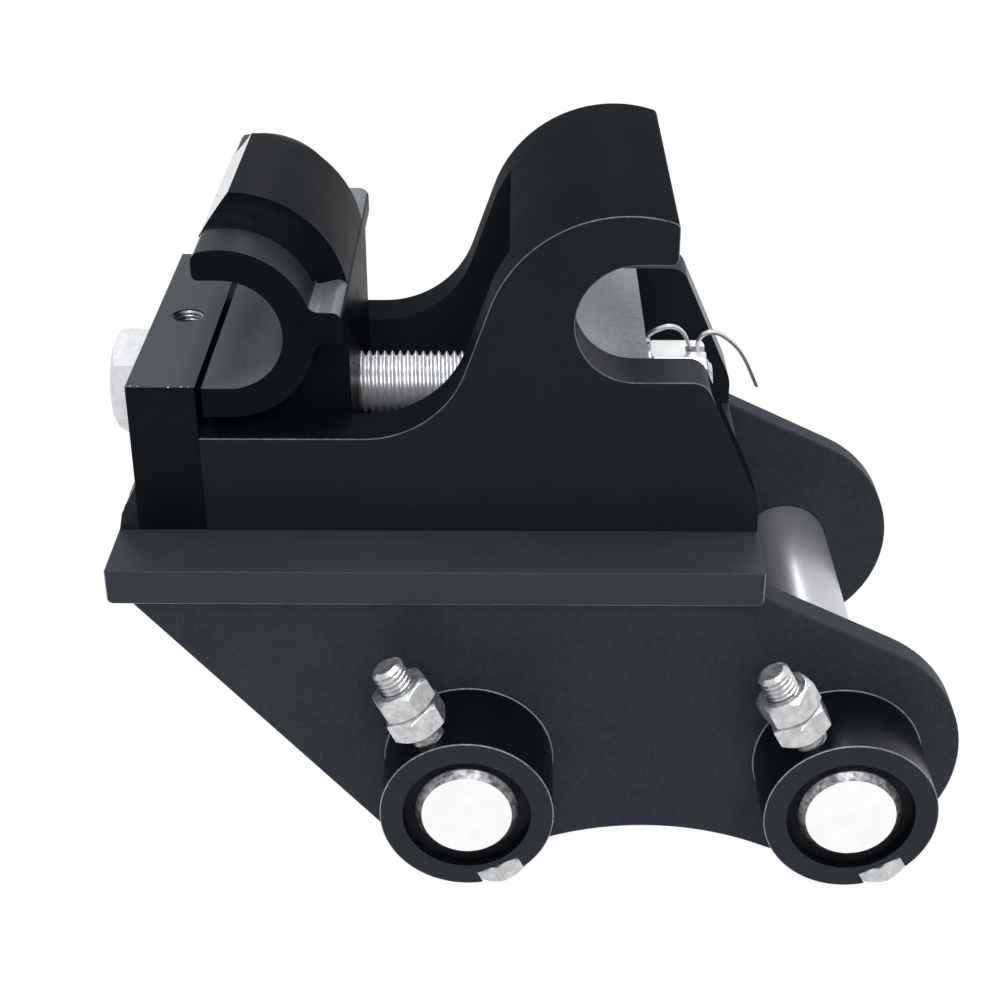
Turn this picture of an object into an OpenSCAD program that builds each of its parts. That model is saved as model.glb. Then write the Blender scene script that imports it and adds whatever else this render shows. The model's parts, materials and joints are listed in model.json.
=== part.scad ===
// Quick coupler: it hangs on an excavator's arm by two pins, and grips a bucket's
// two pins between a fixed hook and a moving jaw that a lead screw drives.
// Millimetres, +Z up. The origin is the middle of the arm pin at the jaw's end,
// +X runs from the moving jaw to the fixed hook, and -Y is the near side.

/* [Arm pins] */
// Diameter of both arm pins
pin_d = 25; // [20:1:40]
// Distance between the arm pins
pin_pitch = 92.5; // [85:0.5:120]
// Clear width between the ears, for the arm
arm_gap = 101; // [80:1:160]

/* [Ears] */
// Thickness of each ear
ear_t = 8; // [6:1:16]
// Radius of the ear round the pin at the jaw's end
ear_r = 31; // [28:0.5:40]
// Radius of the ear's tail round the other pin
tail_r = 33; // [30:0.5:42]
// Radius of the hollow between the two rounds
hollow_r = 77; // [65:1:110]

/* [Base plate] */
// Length of the plate
plate_l = 156; // [140:1:200]
// Width of the plate
plate_w = 126; // [120:1:180]
// Thickness of the plate
plate_t = 9; // [6:1:16]
// Height of the plate's top above the arm pins
plate_top = 57; // [52:1:80]
// How far the plate runs behind the jaw's arm pin
plate_back = 85.5; // [80:0.5:100]

/* [Collars and bushes] */
// Diameter of the collars outside the ears
collar_d = 42; // [38:1:60]
// Length of each collar
collar_l = 23; // [18:1:40]
// Wall of the hardened bushes
bush_wall = 3; // [2:0.5:6]
// How far each bush sits below its collar's face
bush_recess = 2; // [0:0.5:4]

/* [Cheeks and fixed hook] */
// Width over the cheeks, which the jaw's ends match
body_w = 86; // [70:1:120]
// Thickness of each cheek
cheek_t = 14; // [10:1:20]
// Height of the cheeks beside the jaw
cheek_h = 25; // [20:1:30]
// Diameter of the fixed hook's mouth
hook_d = 29.2; // [24:0.2:40]
// Height of the fixed hook's mouth above the plate
hook_h = 54.6; // [48:0.2:70]
// Where the fixed hook's mouth is
hook_x = 39.75; // [30:0.25:60]
// Radius of the crown over the mouth
crown_r = 33.5; // [28:0.5:45]
// Radius of the saddle in front of the crown
saddle_r = 26; // [20:0.5:40]
// Height of the hook's lower lip above the plate's top
lip_h = 40; // [34:0.5:50]

/* [End block] */
// Thickness of the end block
block_t = 16.5; // [14:0.5:24]
// Height of the end block
block_h = 38.5; // [32:0.5:50]
// How far the end block stands in from the plate's end
block_inset = 5; // [2:0.5:12]

/* [Moving jaw] */
// Diameter of the jaw's mouth
jaw_d = 27.2; // [24:0.2:40]
// Height of the jaw's mouth above the plate
jaw_h = 51.75; // [44:0.25:70]
// Gap between the jaw and the end block as stored
jaw_gap = 1.5; // [1:0.1:20]
// Radius of the thick middle of the jaw
jaw_mid_r = 27.5; // [24:0.5:40]
// Radius of the thin ends of the jaw
jaw_end_r = 21; // [18:0.5:32]
// Width of the thick middle
jaw_mid_w = 45; // [30:1:60]

/* [Lead screw] */
// Thread diameter of the lead screw
screw_d = 16; // [12:1:24]
// Pitch of the lead screw
screw_pitch = 2; // [1:0.5:4]
// Diameter of the screw's turned tail
tail_d = 12; // [10:1:16]
// Height of the screw above the plate's top
screw_h = 20; // [16:0.5:26]

/* [Hidden] */
$fn = 96;
plate_low = plate_top - plate_t;
plate_end = plate_l - plate_back;
ear_in = arm_gap / 2;
ear_out = ear_in + ear_t;
collar_end = ear_out + collar_l;
tail_at = [pin_pitch - 2.75, tail_r - ear_r];
hook_pin = [pin_pitch, 0];
bush_d = pin_d + 2 * bush_wall;
fit = 0.05;
cheek_in = body_w / 2 - cheek_t;
cheek_top = plate_top + cheek_h;
block_x = block_inset - plate_back;
block_end = block_x + block_t;
hook_at = [hook_x, plate_top + hook_h];
hook_lip = plate_top + lip_h;
crown_at = [hook_x - 2.75, plate_top + 47.5];
crown_end = hook_x + 8.7;
saddle_at = [-25, cheek_top + saddle_r];
hook_block_x = 10;
hook_block_end = 43.5;
screw_z = plate_top + screw_h;
jaw_x = block_end + jaw_gap;
jaw_at = [jaw_x + 6.4, plate_top + jaw_h];
jaw_back = jaw_at[0] + jaw_mid_r;
jaw_in = cheek_in - 0.3;
cove_r = jaw_mid_r - jaw_end_r;
rib_top = jaw_at[1] + 5.75;
rib_low = jaw_at[1] - 1.95;
washer_t = 2.5;
washer_d = 24;
castle_af = 19;
castle_l = 14;
castle_slot_w = 3.6;
castle_slot_l = 5;
tail_end = hook_block_end + washer_t + castle_l + 2;
bolt_d = 8;
bolt_y = collar_end - 6.5;
jaw_bolt_tilt = 26;
hook_bolt_tilt = 29;
spot_face_d = 17;
bolt_seat = collar_d / 2 - 4;
bolt_l = bolt_seat + 43;
nut_af = 13;
nut_l = 6.5;
lock_nuts_at = 24;
lock_nut_turns = [32, -7];
split_d = 3.2;
split_x = hook_block_end + washer_t + castle_l - castle_slot_l / 2;

// Which node is drawn

function unit(v) = v / norm(v);

// where a line from p touches the circle round c, on the side that turn (1 or -1) gives
function touch(p, c, r, turn) =
  let (a = atan2(c[1] - p[1], c[0] - p[0]) + turn * asin(r / norm(c - p)))
  p + sqrt(pow(norm(c - p), 2) - r * r) * [cos(a), sin(a)];

// centre of an arc of radius r that touches two rounds from below
function arc_below(c1, r1, c2, r2, r) =
  let (d = norm(c2 - c1), u = unit(c2 - c1))
  let (a = (pow(r1 + r, 2) - pow(r2 + r, 2) + d * d) / (2 * d))
  c1 + a * u - sqrt(pow(r1 + r, 2) - a * a) * [-u[1], u[0]];

// half the angle at p between the ways to a and to b
function half_angle(p, a, b) = acos(unit(a - p) * unit(b - p)) / 2;

// what lies between the corner p of an outline and an arc of radius r in it:
// taken away from an outer corner, added to an inner one. Its own corner is moved
// a little past p, so that no sliver is left along the outline's edges.
module corner(p, a, b, r) {
  half = half_angle(p, a, b);
  c = p + unit(unit(a - p) + unit(b - p)) * r / sin(half);
  past = p + 0.3 * unit(p - c);
  difference() {
    polygon([past, p + unit(a - p) * r / tan(half), c, p + unit(b - p) * r / tan(half)]);
    translate(c) circle(r);
  }
}

// stands an outline drawn in X and Z across the width, from y0 to y1
module across(y0, y1) {
  translate([0, y1, 0]) rotate([90, 0, 0]) linear_extrude(y1 - y0) children();
}

// a round bar across the width
module bar(at, d, y0, y1) {
  translate([at[0], y0, at[1]]) rotate([-90, 0, 0]) cylinder(d = d, h = y1 - y0);
}

// a round bar along X
module rod(x0, x1, d) {
  translate([x0, 0, screw_z]) rotate([0, 90, 0]) cylinder(d = d, h = x1 - x0);
}

// a turned part along X: its half-profile's points are [distance along X, radius]
module turned(points) {
  translate([0, 0, screw_z]) rotate([0, 90, 0]) rotate_extrude()
    polygon([for (p = points) [p[1], p[0]]]);
}

// a hexagon with its corners chamfered, as on a nut or a bolt's head
module hexagon(af, h, both_ends) {
  corner_d = af / cos(30);
  bevel = (corner_d - af) / 2 * 0.7;
  foot = both_ends ? bevel * 0.6 : 0;
  intersection() {
    cylinder(d = corner_d, h = h, $fn = 6);
    rotate_extrude() polygon([
      [0, 0],
      [corner_d / 2 - (both_ends ? bevel : 0), 0],
      [corner_d / 2, foot],
      [corner_d / 2, h - bevel * 0.6],
      [corner_d / 2 - bevel, h],
      [0, h]
    ]);
  }
}

// --- base plate, ears, collars, bushes and arm pins ---

module base_plate() {
  color([0.2, 0.22, 0.24]) difference() {
    translate([-plate_back, -plate_w / 2, plate_low]) cube([plate_l, plate_w, plate_t]);
    for (x = [-plate_back, plate_end]) {
      s = x < 0 ? 1 : -1;
      across(-plate_w, plate_w)
        corner([x, plate_low], [x + s, plate_low], [x, plate_top], 1.5);
    }
  }
}

module ear_outline() {
  top_l = [2.5 - plate_back, plate_low];
  top_r = [plate_end, plate_low];
  low = arc_below([0, 0], ear_r, tail_at, tail_r, hollow_r);
  difference() {
    union() {
      circle(ear_r);
      translate(tail_at) circle(tail_r);
      polygon([
        top_l,
        touch(top_l, [0, 0], ear_r, -1),
        [0, 0],
        low,
        tail_at,
        touch(top_r, tail_at, tail_r, 1),
        top_r
      ]);
    }
    translate(low) circle(hollow_r);
    for (at = [[0, 0], hook_pin]) translate(at) circle(d = pin_d + 2 * fit);
  }
}

module ear(side) {
  color([0.22, 0.24, 0.26]) across(side > 0 ? ear_in : -ear_out, side > 0 ? ear_out : -ear_in)
    ear_outline();
}

module collar(at, side, bolted) {
  y0 = side > 0 ? ear_out : -collar_end;
  color([0.2, 0.22, 0.24]) difference() {
    bar(at, collar_d, y0, y0 + collar_l);
    bar(at, bush_d, y0 - 1, y0 + collar_l + 1);
    if (bolted) bolt_hole(at);
    if (bolted) spot_face(at);
  }
}

module bush(at, side, bolted) {
  y0 = side > 0 ? ear_out : bush_recess - collar_end;
  l = collar_l - bush_recess;
  color([0.3, 0.3, 0.31]) difference() {
    bar(at, bush_d, y0, y0 + l);
    bar(at, pin_d + 2 * fit, y0 - 1, y0 + l + 1);
    if (bolted) bolt_hole(at);
  }
}

module arm_pin(at) {
  bevel = 1.6;
  color([0.7, 0.7, 0.72]) difference() {
    translate([at[0], 0, at[1]]) rotate([90, 0, 0]) rotate_extrude() polygon([
      [0, -collar_end],
      [pin_d / 2 - bevel, -collar_end],
      [pin_d / 2, bevel - collar_end],
      [pin_d / 2, collar_end - bevel],
      [pin_d / 2 - bevel, collar_end],
      [0, collar_end]
    ]);
    bolt_hole(at);
  }
}

// --- cross bolts: each runs through a collar, its bush and the pin ---

module along_bolt(at) {
  tilt = at[0] > 0 ? hook_bolt_tilt : jaw_bolt_tilt;
  translate([at[0], -bolt_y, at[1]]) rotate([0, -tilt, 0]) children();
}

module bolt_hole(at) {
  along_bolt(at) translate([0, 0, -collar_d]) cylinder(d = bolt_d + 0.5, h = 2 * collar_d);
}

// the flat under a bolt's head, which breaks out through the collar's face
module spot_face(at) {
  along_bolt(at) translate([0, 0, -collar_d]) cylinder(d = spot_face_d, h = collar_d - bolt_seat);
}

module cross_bolt(at) {
  head_l = 5.3;
  color([0.75, 0.76, 0.78]) along_bolt(at) {
    translate([0, 0, -bolt_seat]) rotate([180, 0, 30]) hexagon(nut_af, head_l, false);
    translate([0, 0, -bolt_seat]) cylinder(d = bolt_d, h = bolt_l - 1);
    translate([0, 0, bolt_l - 1 - bolt_seat]) cylinder(d1 = bolt_d, d2 = bolt_d - 2, h = 1);
  }
}

module lock_nuts(at) {
  color([0.78, 0.79, 0.8]) along_bolt(at) for (i = [0, 1])
    translate([0, 0, lock_nuts_at + i * (nut_l + fit)]) rotate([0, 0, lock_nut_turns[i]])
      difference() {
        hexagon(nut_af, nut_l, true);
        translate([0, 0, -1]) cylinder(d = bolt_d + 2 * fit, h = nut_l + 2);
      }
}

// --- cheeks, hook block and end block ---

// the outline that the cheeks and the hook block share, down to the plate
module hook_outline() {
  apart = norm(crown_at - saddle_at);
  lean = atan2(crown_at[1] - saddle_at[1], crown_at[0] - saddle_at[0]);
  rise = lean + asin((saddle_r + crown_r) / apart);
  saddle_touch = saddle_at + saddle_r * [cos(rise - 90), sin(rise - 90)];
  crown_touch = crown_at + crown_r * [cos(rise + 90), sin(rise + 90)];
  crown_top = crown_at[1] + crown_r;
  shoulder = crown_touch + crown_r * tan(rise / 2) * [cos(rise), sin(rise)];
  chin = [plate_end, plate_top + 7.5];
  lip = [56.2, hook_lip];
  mouth_top = hook_at[1] + hook_d / 2;
  nose = [crown_end, crown_at[1] + sqrt(pow(crown_r, 2) - pow(crown_end - crown_at[0], 2))];
  difference() {
    polygon([
      [block_end, plate_top],
      [block_end, cheek_top],
      [saddle_at[0], cheek_top],
      saddle_at,
      saddle_touch,
      shoulder,
      [crown_end, crown_top],
      [crown_end, hook_at[1]],
      lip + 0.2 * (lip - chin),
      chin,
      [plate_end, plate_top]
    ]);
    translate(saddle_at) circle(saddle_r);
    corner(shoulder, saddle_touch, [crown_end, crown_top], crown_r);
    difference() {
      translate(crown_at) square(2 * crown_r);
      translate([crown_at[0] - 1, 0]) square([crown_r, nose[1] - 1]);
      translate(crown_at) circle(crown_r);
    }
    translate(hook_at) circle(d = hook_d);
    translate([hook_at[0], hook_lip]) square([hook_d, mouth_top - hook_lip]);
    corner(lip, lip - [9, 0], chin, 5);
    corner(chin, lip, [plate_end, plate_top], 11);
    corner(nose, nose - [0, 9], nose + [-9, 2.9], 1.5);
    corner([crown_end, mouth_top], nose, [hook_at[0], mouth_top], 1.5);
  }
}

module cheek(side) {
  color([0.14, 0.16, 0.18])
    across(side > 0 ? cheek_in : -body_w / 2, side > 0 ? body_w / 2 : -cheek_in)
      hook_outline();
}

module hook_block() {
  color([0.24, 0.26, 0.28]) difference() {
    across(-cheek_in, cheek_in) difference() {
      hook_outline();
      translate([block_x, 0]) square([hook_block_x - block_x, 300]);
      translate([hook_block_end, 0]) square([100, hook_at[1]]);
    }
    rod(0, 2 * hook_h, tail_d + 2 * fit);
  }
}

module end_block() {
  color([0.27, 0.3, 0.33]) difference() {
    translate([block_x, -body_w / 2, plate_top]) cube([block_t, body_w, block_h]);
    rod(block_x - 1, block_end + 1, screw_d + 2 * fit);
    translate([block_x + block_t / 2, 0, screw_z])
      cylinder(d = bolt_d, h = block_h);
  }
}

// --- welds ---

// beads in the corners between the plate's underside and the ears' inner faces
module ear_welds() {
  leg = 5;
  color([0.2, 0.21, 0.22]) for (side = [-1, 1])
    translate([8 - plate_back, 0, plate_low]) rotate([90, 0, 90])
      linear_extrude(plate_l - 16) polygon([
        [side * ear_in, 0],
        [side * (ear_in - leg), 0],
        [side * ear_in, -leg]
      ]);
}

// two beads at the end block's foot, clear of the screw's head between them
module end_block_welds() {
  clear = 17;
  color([0.2, 0.21, 0.22]) for (y = [-body_w / 2, clear])
    across(y, y + body_w / 2 - clear) polygon([
      [block_x, plate_top],
      [block_x, plate_top + 12],
      [block_x - 4, plate_top + 4.5],
      [block_x - 4.9, plate_top]
    ]);
}

// --- moving jaw ---

// the U of the jaw's mouth, open towards the end block
module jaw_mouth() {
  translate(jaw_at) circle(d = jaw_d);
  translate([jaw_x - 1, jaw_at[1] - jaw_d / 2]) square([jaw_at[0] - jaw_x + 1, jaw_d]);
}

// what keeps the upper lip of a round of radius r within the jaw's left face
module right_of_face() {
  translate([jaw_x, 0]) square(200);
}

module jaw_end_outline() {
  lip_top = [jaw_x, jaw_at[1] + sqrt(pow(jaw_end_r, 2) - pow(jaw_at[0] - jaw_x, 2))];
  lip_low = [jaw_x, jaw_at[1] + jaw_d / 2];
  root_top = [jaw_at[0] + sqrt(pow(jaw_end_r, 2) - pow(rib_top - jaw_at[1], 2)), rib_top];
  root_low = [jaw_at[0] + sqrt(pow(jaw_end_r, 2) - pow(rib_low - jaw_at[1], 2)), rib_low];
  difference() {
    union() {
      intersection() {
        union() {
          translate(jaw_at) circle(jaw_end_r);
          translate([jaw_x, jaw_at[1] - jaw_end_r])
            square([jaw_at[0] - jaw_x, jaw_end_r]);
        }
        right_of_face();
      }
      translate([jaw_at[0], rib_low]) square([jaw_mid_r, rib_top - rib_low]);
      corner(root_top, [jaw_back, rib_top], root_top + [-2, 6], 3);
      corner(root_low, [jaw_back, rib_low], root_low + [-1, -8], 3);
    }
    corner([jaw_back, rib_top], [jaw_at[0], rib_top], [jaw_back, rib_low], 2.5);
    corner([jaw_back, rib_low], [jaw_at[0], rib_low], [jaw_back, rib_top], 1.5);
    corner(lip_top, lip_top + [3, 1], lip_low, 3);
    corner(lip_low, lip_low + [3, 0], lip_top, 1.5);
    jaw_mouth();
  }
}

module jaw_middle_outline() {
  shoulder = [jaw_at[0], jaw_at[1] + jaw_mid_r];
  difference() {
    intersection() {
      translate(jaw_at) circle(jaw_mid_r);
      translate([jaw_x, rib_low]) square(3 * jaw_mid_r);
      polygon([
        [jaw_x, 0],
        [jaw_x, shoulder[1] - 8.2],
        shoulder,
        [jaw_back + 1, shoulder[1]],
        [jaw_back + 1, 0]
      ]);
    }
    jaw_mouth();
  }
}

// the cove that steps the thick middle down to the thin ends, over the rib
module jaw_cove() {
  intersection() {
    translate([jaw_at[0], 0, jaw_at[1]]) rotate([90, 0, 0]) rotate_extrude() difference() {
      translate([jaw_d / 2, -jaw_mid_w / 2 - cove_r])
        square([jaw_mid_r - jaw_d / 2, jaw_mid_w + 2 * cove_r]);
      for (s = [-1, 1]) translate([jaw_mid_r, s * (jaw_mid_w / 2 + cove_r)]) circle(cove_r);
    }
    across(-cheek_in, cheek_in) intersection() {
      jaw_middle_outline();
      translate([jaw_x, rib_top]) square(3 * jaw_mid_r);
    }
  }
}

// the tapped foot that runs between the cheeks
module jaw_foot() {
  difference() {
    translate([jaw_x, -jaw_in, plate_top + 0.3])
      cube([jaw_back - jaw_x, 2 * jaw_in, rib_low - plate_top + 2]);
    across(-body_w, body_w) jaw_mouth();
    rod(jaw_x - 1, jaw_back + 1, screw_d + 2 * fit);
  }
}

module moving_jaw() {
  color([0.16, 0.18, 0.2]) union() {
    across(-body_w / 2, body_w / 2) jaw_end_outline();
    across(-jaw_mid_w / 2, jaw_mid_w / 2) jaw_middle_outline();
    jaw_cove();
    jaw_foot();
  }
}

// --- lead screw and what locks it ---

module lead_screw() {
  head_af = 24;
  head_l = 11.25;
  root_d = screw_d - 1.2 * screw_pitch;
  thread_from = block_end + 0.5;
  shoulder = hook_block_x - 0.3;
  turns = floor((shoulder - thread_from) / screw_pitch) - 1;
  color([0.78, 0.79, 0.8]) difference() {
    union() {
      translate([block_x, 0, screw_z]) rotate([0, -90, 0]) rotate([0, 0, 11])
        hexagon(head_af, head_l, false);
      turned([
        [block_x, 0],
        [block_x, screw_d / 2],
        [thread_from, screw_d / 2],
        for (i = [0:turns]) for (p = [
          [thread_from + (i + 0.45) * screw_pitch, root_d / 2],
          [thread_from + (i + 0.55) * screw_pitch, root_d / 2],
          [thread_from + (i + 0.95) * screw_pitch, screw_d / 2],
          [thread_from + (i + 1.05) * screw_pitch, screw_d / 2]
        ]) p,
        [shoulder - 1, screw_d / 2],
        [shoulder, screw_d / 2 - 1],
        [shoulder, tail_d / 2],
        [tail_end - 1.2, tail_d / 2],
        [tail_end, tail_d / 2 - 1.2],
        [tail_end, 0]
      ]);
    }
    split_pin_hole();
  }
}

module split_pin_hole() {
  translate([split_x, 0, screw_z - 2 * tail_d])
    cylinder(d = split_d + 2 * fit, h = 4 * tail_d);
}

module thrust_washer() {
  color([0.75, 0.76, 0.78]) difference() {
    rod(hook_block_end, hook_block_end + washer_t, washer_d);
    rod(hook_block_end - 1, hook_block_end + washer_t + 1, tail_d + 2 * fit);
  }
}

module castle_nut() {
  x0 = hook_block_end + washer_t;
  color([0.78, 0.79, 0.8]) difference() {
    translate([x0, 0, screw_z]) rotate([0, 90, 0]) rotate([0, 0, 30])
      hexagon(castle_af, castle_l, true);
    rod(x0 - 1, x0 + castle_l + 1, tail_d + 2 * fit);
    for (a = [0, 60, 120])
      translate([x0 + castle_l - castle_slot_l, 0, screw_z]) rotate([a, 0, 0])
        translate([0, -castle_slot_w / 2, -castle_af])
          cube([castle_slot_l + 1, castle_slot_w, 2 * castle_af]);
  }
}

// a split pin pushed up through the screw: its eye is below, and its two legs are bent
// over at the top, one back over the nut and one down past the nut's end
module split_pin() {
  leg_d = 1.5;
  eye_r = 2.6;
  nut_top = castle_af / 2;
  color([0.8, 0.8, 0.82]) translate([split_x, 0, screw_z]) {
    translate([0, 0, -nut_top - 1.5]) cylinder(d = split_d, h = 2 * nut_top + 2.3);
    translate([0, 0, -nut_top - 1.5 - eye_r]) rotate([90, 0, 0])
      rotate_extrude() translate([eye_r, 0]) circle(d = leg_d);
    bent_leg([-7, nut_top + 0.4], 6, -5, 148, leg_d);
    bent_leg([5.4, nut_top - 4.7], 8.4, 20, 143, leg_d);
    translate([5.4 + 8.4 * cos(20), 0, nut_top - 4.7 + 8.4 * sin(20)]) rotate([0, 160, 0])
      translate([0, 0, -0.2]) cylinder(d = leg_d + 0.1, h = 9);
  }
}

// an arc of wire in X and Z, round a centre, between two angles from +X
module bent_leg(at, r, from, to, d) {
  translate([at[0], 0, at[1]]) rotate([90, 0, 0]) rotate([0, 0, from])
    rotate_extrude(angle = to - from) translate([r, 0]) circle(d = d);
}

module grub_screw() {
  x = block_x + block_t / 2;
  top = plate_top + block_h - 3;
  color([0.75, 0.76, 0.78]) difference() {
    translate([x, 0, top - 6]) cylinder(d = bolt_d, h = 6);
    translate([x, 0, top - 3.5]) cylinder(d = 4 / cos(30), h = 5, $fn = 6);
  }
}

module drag_pad() {
  x = block_x + block_t / 2;
  pad_low = screw_z + screw_d / 2 + fit;
  color([0.85, 0.85, 0.8]) translate([x, 0, pad_low])
    cylinder(d = bolt_d - 1, h = plate_top + block_h - 9 - pad_low);
}

base_plate();
ear(-1);  // near_ear
ear(1);  // far_ear
cheek(-1);  // near_cheek
cheek(1);  // far_cheek
hook_block();
end_block();
ear_welds();
end_block_welds();
moving_jaw();
lead_screw();
thrust_washer();
castle_nut();
split_pin();
grub_screw();
drag_pad();
arm_pin([0, 0]);  // jaw_side_arm_pin
arm_pin(hook_pin);  // hook_side_arm_pin
collar([0, 0], -1, true);  // near_jaw_side_collar
collar(hook_pin, -1, true);  // near_hook_side_collar
collar([0, 0], 1, false);  // far_jaw_side_collar
collar(hook_pin, 1, false);  // far_hook_side_collar
bush([0, 0], -1, true);  // near_jaw_side_bush
bush(hook_pin, -1, true);  // near_hook_side_bush
bush([0, 0], 1, false);  // far_jaw_side_bush
bush(hook_pin, 1, false);  // far_hook_side_bush
cross_bolt([0, 0]);  // jaw_side_cross_bolt
cross_bolt(hook_pin);  // hook_side_cross_bolt
lock_nuts([0, 0]);  // jaw_side_lock_nuts
lock_nuts(hook_pin);  // hook_side_lock_nuts
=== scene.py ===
import bmesh
import bpy
import json
import math
from mathutils import Matrix, Vector
from mathutils.bvhtree import BVHTree

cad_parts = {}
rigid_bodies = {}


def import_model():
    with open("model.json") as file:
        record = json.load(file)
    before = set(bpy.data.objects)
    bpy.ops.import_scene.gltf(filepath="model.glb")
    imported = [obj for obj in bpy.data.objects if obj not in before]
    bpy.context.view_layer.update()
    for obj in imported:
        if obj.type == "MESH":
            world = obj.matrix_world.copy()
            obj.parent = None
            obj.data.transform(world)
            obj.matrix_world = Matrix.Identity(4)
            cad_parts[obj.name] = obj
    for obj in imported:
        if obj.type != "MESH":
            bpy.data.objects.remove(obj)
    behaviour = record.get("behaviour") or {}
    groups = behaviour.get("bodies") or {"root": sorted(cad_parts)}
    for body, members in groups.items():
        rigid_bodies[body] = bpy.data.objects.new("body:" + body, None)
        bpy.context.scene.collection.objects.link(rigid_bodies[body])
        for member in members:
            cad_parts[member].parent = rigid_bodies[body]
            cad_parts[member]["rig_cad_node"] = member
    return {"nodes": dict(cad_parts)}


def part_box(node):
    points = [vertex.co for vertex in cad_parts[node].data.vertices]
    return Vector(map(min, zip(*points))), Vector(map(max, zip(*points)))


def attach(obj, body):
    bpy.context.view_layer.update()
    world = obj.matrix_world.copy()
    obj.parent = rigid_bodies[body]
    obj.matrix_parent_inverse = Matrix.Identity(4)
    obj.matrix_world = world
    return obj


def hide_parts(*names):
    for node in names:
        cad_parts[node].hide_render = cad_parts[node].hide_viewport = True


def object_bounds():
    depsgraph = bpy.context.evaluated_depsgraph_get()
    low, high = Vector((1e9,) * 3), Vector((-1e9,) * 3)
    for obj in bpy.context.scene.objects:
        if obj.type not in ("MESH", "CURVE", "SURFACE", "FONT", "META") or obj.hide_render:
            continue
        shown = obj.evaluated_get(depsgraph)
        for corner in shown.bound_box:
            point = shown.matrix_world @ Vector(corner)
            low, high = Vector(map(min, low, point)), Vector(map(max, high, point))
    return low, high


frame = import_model()
cad_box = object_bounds()

# --- The picture: camera and image points ---
# The photograph was taken from the near side, a little to the jaw's end of the
# middle and looking down 29 degrees. The points are where things show in it, in
# pixels from the top left of a 1000 x 1000 picture.

picture_w, picture_h = 1000, 1000
picture_long = max(picture_w, picture_h)

camera_at = Vector((0.01217, -0.43798, 0.28255))
camera_pitch = math.radians(28.773)
camera_yaw = math.radians(-0.639)
camera_roll = math.radians(-0.105)
camera_data = bpy.data.cameras.new("camera")
camera_data.lens = 66.99
camera_data.sensor_width = 36
camera_data.sensor_fit = "AUTO"
camera_data.shift_x = 0
camera_data.shift_y = 0
camera_data.clip_start = 0.01
camera_data.clip_end = 50
camera = bpy.data.objects.new("camera", camera_data)
bpy.context.scene.collection.objects.link(camera)
camera.matrix_world = (
    Matrix.Translation(camera_at) @ Matrix.Rotation(-camera_yaw, 4, "Z")
    @ Matrix.Rotation(math.pi / 2 - camera_pitch, 4, "X") @ Matrix.Rotation(camera_roll, 4, "Z"))
bpy.context.scene.camera = camera

points = {
    "left_x": (104.5, None),
    "right_x": (959.5, None),
    "top_y": (None, 103.5),
    "bottom_y": (None, 884.0),
    "plate_near_left_corner": (104.5, 572.0),
    "plate_near_right_corner": (763.5, 574.0),
    "jaw_side_pin_end": (469.0, 815.0),
    "hook_side_pin_end": (851.0, 817.5),
    "hook_mouth_near_left": (574.0, 318.0),
    "crown_far_right_corner": (652.5, 107.0),
    "nose_near_corner": (682.0, 262.0),
    "end_block_near_top_corner": (124.0, 386.0),
    "grub_screw_hole": (189.5, 314.0),
    "jaw_top_far_left": (248.0, 132.0),
    "split_pin_tip": (757.0, 386.0),
    "jaw_side_stud_tip": (384.0, 667.0),
    "hook_side_stud_tip": (769.0, 667.0),
}


def ray_to(pixel):
    """A ray from the camera through a pixel of the picture: its start and its way."""
    x, y = pixel
    way = Vector((
        x - picture_w / 2 + camera_data.shift_x * picture_long,
        picture_h / 2 - y + camera_data.shift_y * picture_long,
        -picture_long * camera_data.lens / camera_data.sensor_width))
    return camera_at.copy(), (camera.matrix_world.to_3x3() @ way).normalized()


def pixel_of(place):
    """Where a place in the scene shows in the picture."""
    seen = camera.matrix_world.inverted() @ Vector(place)
    scale = picture_long * camera_data.lens / camera_data.sensor_width / -seen.z
    return (picture_w / 2 + seen.x * scale - camera_data.shift_x * picture_long,
            picture_h / 2 - seen.y * scale + camera_data.shift_y * picture_long)


def place_on(pixel, carriers):
    """The place on the finished carriers that a pixel's ray meets, and the surface's way there.
    A ray that misses takes the place nearest to it."""
    bpy.context.view_layer.update()
    depsgraph = bpy.context.evaluated_depsgraph_get()
    start, way = ray_to(pixel)
    best = None
    for carrier in carriers:
        tree = BVHTree.FromObject(carrier, depsgraph)
        hit, normal, _, distance = tree.ray_cast(start, way)
        if hit is not None and (best is None or distance < best[0]):
            best = (distance, hit, normal)
    if best is None:
        for carrier in carriers:
            tree = BVHTree.FromObject(carrier, depsgraph)
            for step in range(200):
                spot = start + way * (0.3 + step * 0.002)
                near, normal, _, distance = tree.find_nearest(spot)
                if near is not None and (best is None or distance < best[0]):
                    best = (distance, near, normal)
    return best[1], best[2]


# --- The studio: floor, backdrop and lamps ---
# A pale paper floor and a white room, as in a catalogue picture: both show white
# to the camera and in gloss, and the floor keeps a soft shadow under its three lamps.


def wired(owner):
    """A fresh node material, or the world's nodes: the tree and a way to add nodes to it."""
    owner.use_nodes = True
    tree = owner.node_tree
    tree.nodes.clear()

    def add(kind, inputs=None, **settings):
        node = tree.nodes.new(kind)
        for key, value in settings.items():
            setattr(node, key, value)
        for key, value in (inputs or {}).items():
            if isinstance(value, bpy.types.NodeSocket):
                tree.links.new(value, node.inputs[key])
            else:
                node.inputs[key].default_value = value
        return node

    return tree, add


def shows_white(add):
    """A socket that is 1 for rays from the camera and for those sent on by gloss or glass."""
    path = add("ShaderNodeLightPath")
    seen_or_glossy = add("ShaderNodeMath", {
        0: path.outputs["Is Camera Ray"], 1: path.outputs["Is Glossy Ray"]}, operation="MAXIMUM")
    shown = add("ShaderNodeMath", {
        0: seen_or_glossy.outputs[0], 1: path.outputs["Is Transmission Ray"]}, operation="MAXIMUM")
    return shown.outputs[0]


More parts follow.
